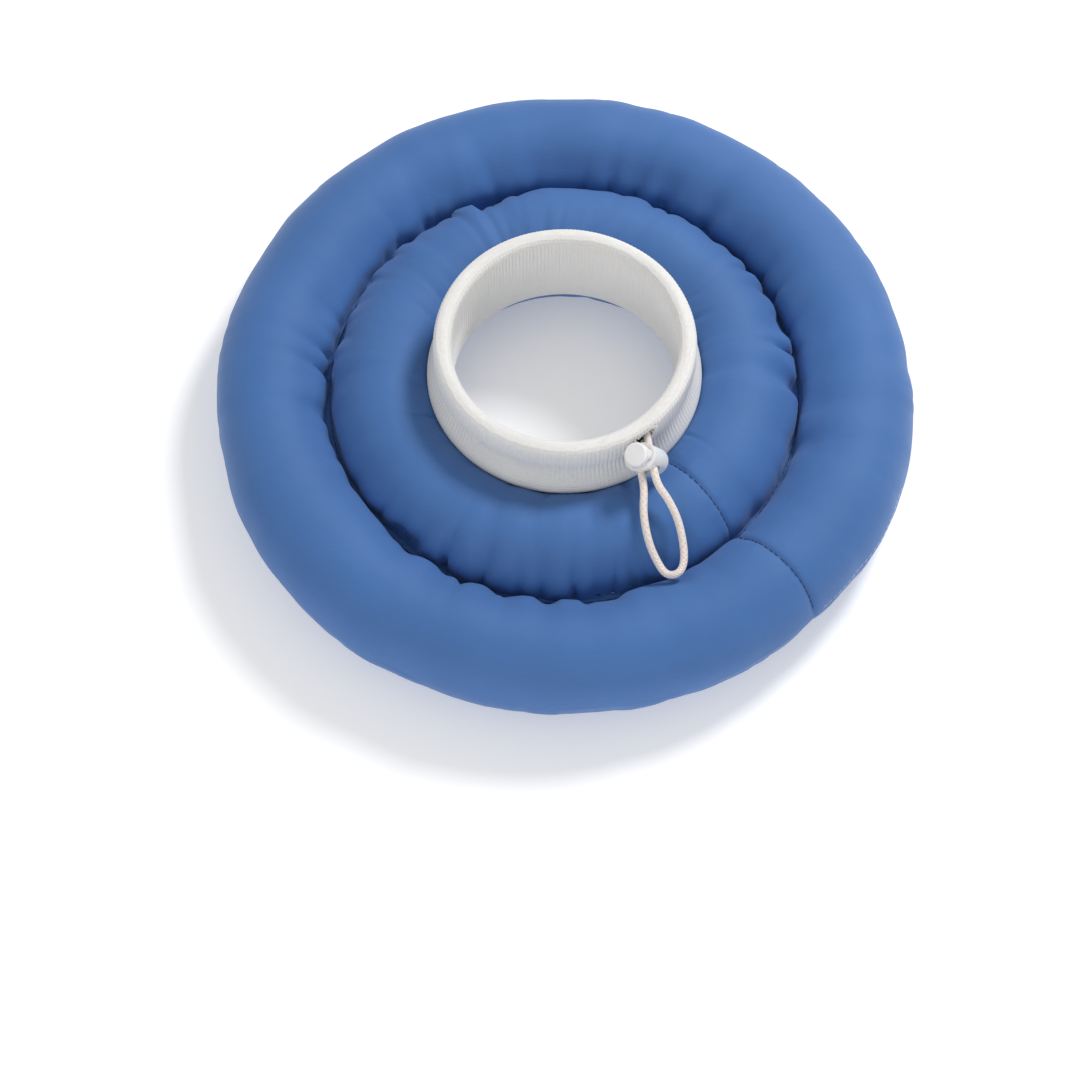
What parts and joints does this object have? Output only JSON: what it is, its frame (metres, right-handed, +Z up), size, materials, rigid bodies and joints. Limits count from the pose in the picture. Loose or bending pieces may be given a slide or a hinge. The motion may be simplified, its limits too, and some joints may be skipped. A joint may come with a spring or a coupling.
{
  "type": "elizabethan collar",
  "caption": "Soft pet recovery collar: two stuffed fabric rings around a ribbed neck band, drawn in by an elastic cord with a push-button cord lock.",
  "frame": {"origin": "on the neck axis, in the plane the collar lies on", "axes": "+Z up through the neck opening, towards the band's open top; -Y towards the side the cord loop lies on"},
  "size_m": [0.25, 0.25, 0.0587],
  "materials": {
    "cover_fabric": "smooth plain-woven polyester, mid blue",
    "stuffing": "loose polyester fibre, white",
    "blue_thread": "spun polyester sewing thread, dark blue",
    "pale_thread": "spun polyester sewing thread, pale blue",
    "white_thread": "spun polyester sewing thread, white",
    "rib_knit": "1 by 1 rib knit, white",
    "elastic_cord": "braided round elastic, pale beige with pink flecks",
    "lock_plastic": "moulded acetal, white, satin",
    "spring_steel": "spring steel wire"
  },
  "bodies": {
    "collar": {"upper_cover": "cover_fabric", "lower_cover": "cover_fabric", "outer_ring_filling": "stuffing", "inner_ring_filling": "stuffing", "groove_stitching": "blue_thread", "rim_seam_thread": "blue_thread", "rim_closing_stitches": "pale_thread", "radial_seam_upper_stitches": "blue_thread", "radial_seam_lower_stitches": "blue_thread", "neckband": "rib_knit", "neck_seam_thread": "blue_thread", "cord_channel_stitching": "white_thread", "buttonhole_stitching": "white_thread", "drawcord_channel_run": "elastic_cord", "cord_end_whipping": "white_thread", "drawcord_loop": "elastic_cord"},
    "cord_lock": {"cord_lock_barrel": "lock_plastic", "cord_lock_spring": "spring_steel"},
    "plunger": {"cord_lock_plunger": "lock_plastic"}
  },
  "joints": [
    {"name": "cord_lock_slide", "type": "slide", "parent": "collar", "child": "cord_lock", "axis": [0.2034, -0.9568, -0.2079], "range_m": [0, 0.005]},
    {"name": "plunger_press", "type": "slide", "parent": "cord_lock", "child": "plunger", "axis": [0.421, 0.2772, -0.8637], "range_m": [0, 0.0015], "stiffness_N_per_m": 800, "springref_m": -0.003, "deforming": ["cord_lock_spring"]}
  ]
}
